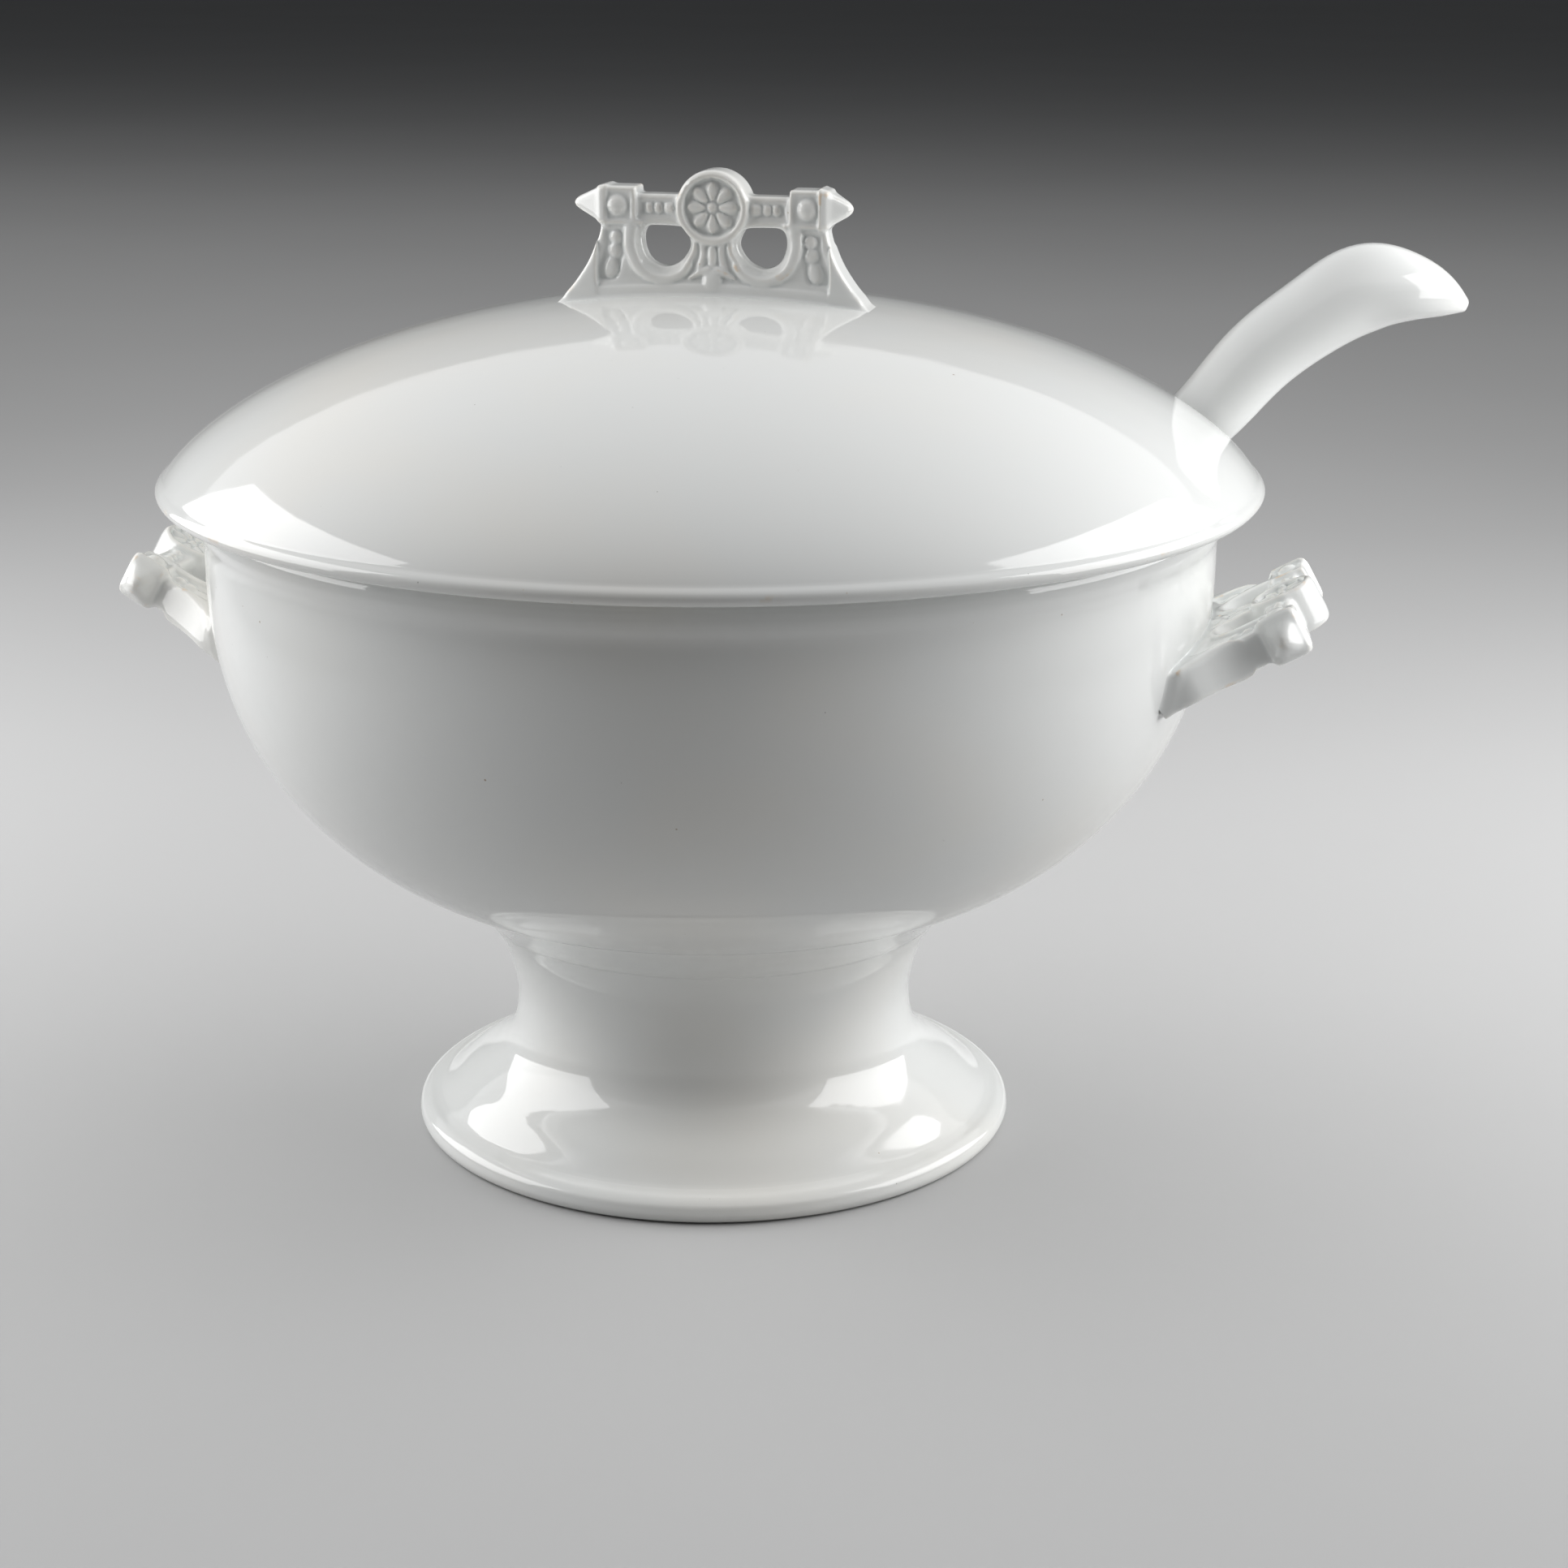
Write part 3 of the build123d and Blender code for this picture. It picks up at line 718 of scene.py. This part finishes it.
handle_glaze = glaze("handle_glaze", specks=0.6, stain=0.8, pooling=0.35, ripple=0.35)
for name, turn, sink in (("handle_right", 0, 0), ("handle_left", pi, 3.0 * mm)):
    seat = handle_frame @ Matrix.Translation((0, 0, -sink))
    handle = mould_grip(name + "_moulded", seat, above_bowl, half=4.6 * mm, root=4.7 * mm, depth=0.55 * mm,
                        points=(6.4, 6.0), melt=2.0, block=5.7 * mm, rosette=8.5 * mm, hollow=2.8 * mm,
                        low=-9 * mm)
    handle.data.transform(Matrix.Rotation(turn, 4, "Z"))
    handle.data.materials.append(handle_glaze)
    fit(handle, "tureen", name)

# ---- Lid ----
# A domed cover, thrown and turned in white earthenware, with a rolled edge that overhangs the rim and a
# ring below it that keeps it in the mouth. A notch in its edge lets the ladle out.

lid_radius = collar_radius + 10 * mm
lid_base = rim_top + 0.3 * mm
lid_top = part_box("lid")[1].z
lid_crown = lid_top - lid_base
lid_arch = 1.3
lid_wall = 5.5 * mm
lid_edge = 4.6 * mm
ring_outer = mouth_radius - 2.5 * mm
ring_inner = ring_outer - 5.0 * mm
ring_foot = lid_base - 10.0 * mm
lid_lean = 1.8 * mm / lid_crown


def dome(radius, crown, low_share, spacing=2.2 * mm):
    """Points up a dome from a share of its crown to its top."""
    first = low_share ** (1 / lid_arch)
    low = atan2(sqrt(1 - first ** 2), first)
    steps = round(low * radius / spacing)
    turns = [low * (1 - i / steps) for i in range(steps + 1)]
    return [Vector((radius * sin(t), lid_base + crown * abs(cos(t)) ** lid_arch)) for t in turns]


def dome_height(x, y):
    """Height of the leaning dome's outside over a point."""
    share = 1 - np.clip(np.hypot(x - 1.6 * mm, y) / lid_radius, 0, 0.995) ** 2
    return lid_base + lid_crown * share ** (lid_arch / 2)


outside = dome(lid_radius, lid_crown, lid_edge / lid_crown)
edge_roll = through([
    (lid_radius - 3.4 * mm, lid_base), (lid_radius - 1.2 * mm, lid_base + 0.45 * mm),
    (lid_radius - 0.1 * mm, lid_base + 2.0 * mm), (lid_radius - 0.55 * mm, lid_base + 3.4 * mm), outside[0],
], 0.5 * mm)
hollow = dome(lid_radius - lid_wall, lid_crown - lid_wall, lid_wall / (lid_crown - lid_wall))
hollow.reverse()
ledge = lid_base + lid_wall
ring = [Vector((hollow[-1].x, ledge)), Vector((ring_inner + 1.5 * mm, ledge)),
        Vector((ring_inner, ledge - 1.5 * mm))]
ring += arc((ring_inner + 2 * mm, ring_foot + 2 * mm), 2 * mm, 180, 270)
ring += arc((ring_outer - 2 * mm, ring_foot + 2 * mm), 2 * mm, 270, 360)
ring += [Vector((ring_outer, lid_base - 1 * mm)), Vector((ring_outer + 1 * mm, lid_base))]
outline = [Vector((0, lid_top - lid_wall))] + hollow[1:] + ring[1:] + edge_roll + outside[1:-1]
outline += [Vector((0, lid_top))]
lid = throw("lid_dome", outline, glaze("lid_glaze", stain=0.8), warp=0.7 * mm, lean=lid_lean,
            lean_from=lid_base)

notch_turn = radians(20)
notch_half = 13.4 * mm
notch_end = lid_radius - 24.0 * mm
notch_mouth = lid_radius + 8 * mm


def notch_cutter():
    """A plug in the shape of the notch, flared where it leaves the lid's two faces."""
    levels = [(-16, 1.2, False), (-0.3, 1.2, False), (0.3, 0.5, False), (1.1, 0.1, False), (1.9, 0, False),
              (-2.2, 0, True), (-1.2, 0.12, True), (-0.5, 0.55, True), (0.0, 1.2, True), (0.5, 2.2, True),
              (40, 3.0, True)]
    form = bmesh.new()
    rings = []
    for height, flare, from_dome in levels:
        half, middle = notch_half + flare * mm, notch_end + notch_half
        plan = [(notch_mouth - (notch_mouth - middle) * i / 12, -half) for i in range(12)]
        plan += [(middle - half * cos(radians(a)), half * sin(radians(a))) for a in range(-90, 91, 6)]
        plan += [(x, -y) for x, y in plan[11::-1]]
        loop = []
        for i, (x, y) in enumerate(plan):
            base = float(dome_height(x * cos(notch_turn) - y * sin(notch_turn),
                                     x * sin(notch_turn) + y * cos(notch_turn))) if from_dome else lid_base
            floor = rings[-1][i].co.z + 0.1 * mm if rings else -1
            loop.append(form.verts.new((x, y, max(base + height * mm, floor))))
        rings.append(loop)
    for low, high in zip(rings, rings[1:]):
        for i in range(len(low)):
            j = (i + 1) % len(low)
            form.faces.new((low[i], low[j], high[j], high[i]))
    form.faces.new(rings[0][::-1])
    form.faces.new(rings[-1])
    bmesh.ops.recalc_face_normals(form, faces=form.faces)
    mesh = bpy.data.meshes.new("notch")
    form.to_mesh(mesh)
    form.free()
    mesh.transform(Matrix.Rotation(notch_turn, 4, "Z"))
    return added("notch_cutter", mesh)


def ring_cutter():
    """A block that takes the ring and its ledge away under the notch."""
    start, reach, top = ring_inner - 15 * mm, lid_radius + 6 * mm, ledge + 1 * mm
    form = bmesh.new()
    bmesh.ops.create_cube(form, size=1)
    for corner in form.verts:
        x, y, z = corner.co
        corner.co = ((start + reach) / 2 + x * (reach - start), y * 2 * notch_half,
                     (ring_foot - 8 * mm + top) / 2 + z * (top - ring_foot + 8 * mm))
    mesh = bpy.data.meshes.new("ring_cut")
    form.to_mesh(mesh)
    form.free()
    mesh.transform(Matrix.Rotation(notch_turn, 4, "Z"))
    return added("ring_cutter", mesh)


for cutter in (notch_cutter(), ring_cutter()):
    cut = lid.modifiers.new("cut", "BOOLEAN")
    cut.operation = "DIFFERENCE"
    cut.solver = "EXACT"
    cut.object = cutter
    finished(lid)
    bpy.data.objects.remove(cutter)
fit(lid, "lid", "lid")

# ---- Finial ----
# The lid's knob in white earthenware, pressed to the same pierced pattern as the handles, and luted
# across the top of the dome a little off its centre.

finial_shift = 1.2 * mm
finial_root = lid_top - 2.3 * mm
finial_frame = Matrix.Translation((finial_shift, 0, finial_root))


def above_lid(points):
    return points[..., 2] - dome_height(points[..., 0], points[..., 1])


finial = mould_grip("finial_moulded", finial_frame, above_lid, half=3.8 * mm, root=4.9 * mm, depth=0.6 * mm,
                    points=(8.2, 6.6), melt=1.4)
finial.data.materials.append(glaze("finial_glaze", specks=0.6, stain=0.7, pooling=0.35, ripple=0.35))
fit(finial, "lid", "lid_finial")

# ---- Ladle ----
# A deep cup and a curved handle in the same white ware, luted together. The cup hangs over the bowl's
# floor, and the handle leaves through the notch and ends in a hook.

ladle_turn = Matrix.Rotation(notch_turn, 4, "Z")
cup_radius = 43.0 * mm
cup_depth = 32.0 * mm
cup_wall = 3.6 * mm
cup_tilt = radians(-9.7)
cup_clear = 4.4 * mm         # over the bowl's floor
cup_place = Vector((0.27 * mouth_radius, joint_height + bowl_floor + cup_depth + cup_clear))


def cup_curve(radius, depth):
    """Points down a cup's wall, from its mouth to the middle of its floor."""
    steps = round((radius + depth) / (1.4 * mm))
    turns = [pi / 2 * i / steps for i in range(steps + 1)]
    wall = [Vector((radius * cos(t) ** 0.92, -depth * sin(t) ** 0.92)) for t in turns[:-1]]
    return wall + [Vector((0, -depth))]


outer, inner = cup_curve(cup_radius, cup_depth), cup_curve(cup_radius - cup_wall, cup_depth - cup_wall)
outer.reverse()
lip = arc((cup_radius - cup_wall / 2, 0), cup_wall / 2, 0, 180)
cup = throw("ladle_cup", outer + lip[1:-1] + inner, glaze("cup_glaze", stain=0.4), turns=144, warp=0.6 * mm,
            warp_size=0.05)
cup.data.transform(ladle_turn @ Matrix.Translation((cup_place.x, 0, cup_place.y))
                   @ Matrix.Rotation(cup_tilt, 4, "Y"))
fit(cup, "ladle", "ladle_bowl")

neck = Vector((cup_place.x + cup_radius + 0.5 * mm, cup_place.y - 2 * mm))
ladle_crossing = 8.0 * mm    # half the handle's thickness where it crosses the rim
ladle_lean = radians(53.47)
rim_gap = 0.9 * mm
hook_from, hook_to = rim_centre[0] + 38 * mm, rim_centre[0] + 60 * mm
bend_out, bend_spread = rim_centre[0] + 47 * mm, 9 * mm

clear_of_rim = ladle_crossing + rim_thickness / 2 + rim_gap
crossing = Vector((rim_centre[0] - clear_of_rim * sin(ladle_lean),
                   rim_centre[1] + clear_of_rim * cos(ladle_lean)))
stations = [(neck.x - 10 * mm, neck.y - 13 * mm, 2.4 * mm, 6.0 * mm), (neck.x, neck.y, 4.4 * mm, 8.5 * mm)]
for share, thick, broad in ((0.25, 5.6, 9.6), (0.52, 6.3, 9.4), (0.78, 7.1, 10.0)):
    stations.append((neck.x + share ** 1.5 * (crossing.x - neck.x), neck.y + share * (crossing.y - neck.y),
                     thick * mm, broad * mm))
stations.append((crossing.x, crossing.y, ladle_crossing, 11.0 * mm))
for out, up, thick, broad in ((3.4, 19.2, 9.1, 12.0), (16.8, 34.0, 10.0, 12.0), (31.2, 44.4, 10.5, 12.5),
                              (44.0, 51.4, 11.6, 13.0), (56.2, 51.2, 8.8, 12.0), (65.2, 48.6, 5.6, 8.5),
                              (70.9, 46.2, 2.0, 3.4)):
    stations.append((rim_centre[0] + out * mm, rim_centre[1] + up * mm, thick * mm, broad * mm))


def draw_ladle_handle(stations, sides=56):
    """A handle of oval sections along its stations, ridged over the bend and hollow under the hook."""
    path = through([Vector(s) for s in stations], 1.4 * mm)
    for _ in range(14):
        path[1:-1] = [(a + 2 * b + c) / 4 for a, b, c in zip(path, path[1:], path[2:])]
    form = bmesh.new()
    rings = []
    for i, (r, z, thick, broad) in enumerate(path):
        before, after = path[max(i - 1, 0)], path[min(i + 1, len(path) - 1)]
        run = Vector((after.x - before.x, after.y - before.y)).normalized()
        hook = float(eased(r, hook_from, hook_to))
        bend = float(np.exp(-((r - bend_out) / bend_spread) ** 2))
        loop = []
        for j in range(sides):
            turn = 2 * pi * j / sides
            over, side = sin(turn), cos(turn)
            if over > 0:
                lift = thick * over ** (1 + 0.35 * bend)
            else:
                lift = -thick * abs(over) ** (1 - 0.45 * hook)
            loop.append(form.verts.new((r - run.y * lift, side * broad, z + run.x * lift)))
        rings.append(loop)
    for low, high in zip(rings, rings[1:]):
        for j in range(sides):
            k = (j + 1) % sides
            form.faces.new((low[j], low[k], high[k], high[j]))
    for loop in (rings[0], rings[-1]):
        pole = form.verts.new(sum((corner.co for corner in loop), Vector()) / sides)
        for j in range(sides):
            form.faces.new((loop[j], loop[(j + 1) % sides], pole))
    mesh = bpy.data.meshes.new("ladle_handle")
    form.to_mesh(mesh)
    form.free()
    outwards(mesh)
    return mesh


ladle_handle = added("ladle_handle_drawn", draw_ladle_handle(stations))
ladle_handle.data.transform(ladle_turn)
ladle_handle.data.materials.append(glaze("ladle_glaze", specks=0.8, stain=0.5))
fit(ladle_handle, "ladle", "ladle_handle")

# ---- Table ----
# A plain pale table top in matt paper, laid flat under the foot. It is only there to carry the
# shadows, and it isn't part of the object.

table_paper = bpy.data.materials.new("table_paper")
table_paper.use_nodes = True
nodes, link = table_paper.node_tree.nodes, table_paper.node_tree.links.new
paper = nodes["Principled BSDF"]
fibre = nodes.new("ShaderNodeTexNoise")
fibre.inputs["Scale"].default_value = 3.0
fibre.inputs["Detail"].default_value = 3.0
shade = nodes.new("ShaderNodeMapRange")
shade.inputs["To Min"].default_value = 0.47
shade.inputs["To Max"].default_value = 0.51
where = nodes.new("ShaderNodeTexCoord")
link(where.outputs["Object"], fibre.inputs["Vector"])
link(fibre.outputs["Fac"], shade.inputs["Value"])
link(shade.outputs["Result"], paper.inputs["Base Color"])
paper.inputs["Roughness"].default_value = 0.6
reach = 15
floor_mesh = bpy.data.meshes.new("table")
floor_mesh.from_pydata([(-reach, -reach, 0), (reach, -reach, 0), (reach, reach, 0), (-reach, reach, 0)], [],
                       [(0, 1, 2, 3)])
floor_mesh.materials.append(table_paper)
added("table", floor_mesh)

# ---- Light and camera ----
# Two softboxes stand close beside the object and a wide one hangs over it. The camera looks down on
# it a little, from the front and from slightly to its right, through a long lens.


def softbox(name, middle, facing, size, power):
    data = bpy.data.lights.new(name, "AREA")
    data.shape = "RECTANGLE"
    data.size, data.size_y = size
    data.energy = power
    lamp = bpy.data.objects.new(name, data)
    bpy.context.scene.collection.objects.link(lamp)
    turned = Vector(facing).to_track_quat("-Z", "Y").to_matrix().to_4x4()
    lamp.matrix_world = Matrix.Translation(middle) @ turned
    lamp.visible_camera = False


softbox("softbox_left", (-0.60, 0.05, 0.37), (0.91, 0.40, 0), (0.77, 0.50), 4.6)
softbox("softbox_right", (0.52, 0.22, 0.37), (-0.99, 0.10, 0), (0.70, 0.50), 4.8)
softbox("softbox_top", (0.0, 0.50, 1.25), (0, 0, -1), (6.5, 3.0), 42)

world = bpy.data.worlds.new("room")
world.use_nodes = True
world.node_tree.nodes["Background"].inputs["Color"].default_value = (0.93, 0.96, 1.0, 1)
world.node_tree.nodes["Background"].inputs["Strength"].default_value = 0.05
bpy.context.scene.world = world

camera_side, camera_back, camera_height = 0.0187, 0.770, 0.3237
camera_data = bpy.data.cameras.new("camera")
camera_data.lens = 70.03
camera_data.sensor_width = 36.0
camera = bpy.data.objects.new("camera", camera_data)
bpy.context.scene.collection.objects.link(camera)
turn, pitch, roll = radians(12), radians(16.85), radians(0.22)
right = Vector((cos(turn), sin(turn), 0))
ahead = Vector((-sin(turn) * cos(pitch), cos(turn) * cos(pitch), -sin(pitch)))
up = right.cross(ahead)
right, up = right * cos(roll) + up * sin(roll), up * cos(roll) - right * sin(roll)
facing = Matrix((right, up, -ahead)).transposed().to_4x4()
facing.translation = Vector((camera_side * cos(turn) + camera_back * sin(turn),
                             camera_side * sin(turn) - camera_back * cos(turn), camera_height))
camera.matrix_world = facing
bpy.context.scene.camera = camera
bpy.context.scene.view_settings.view_transform = "Standard"
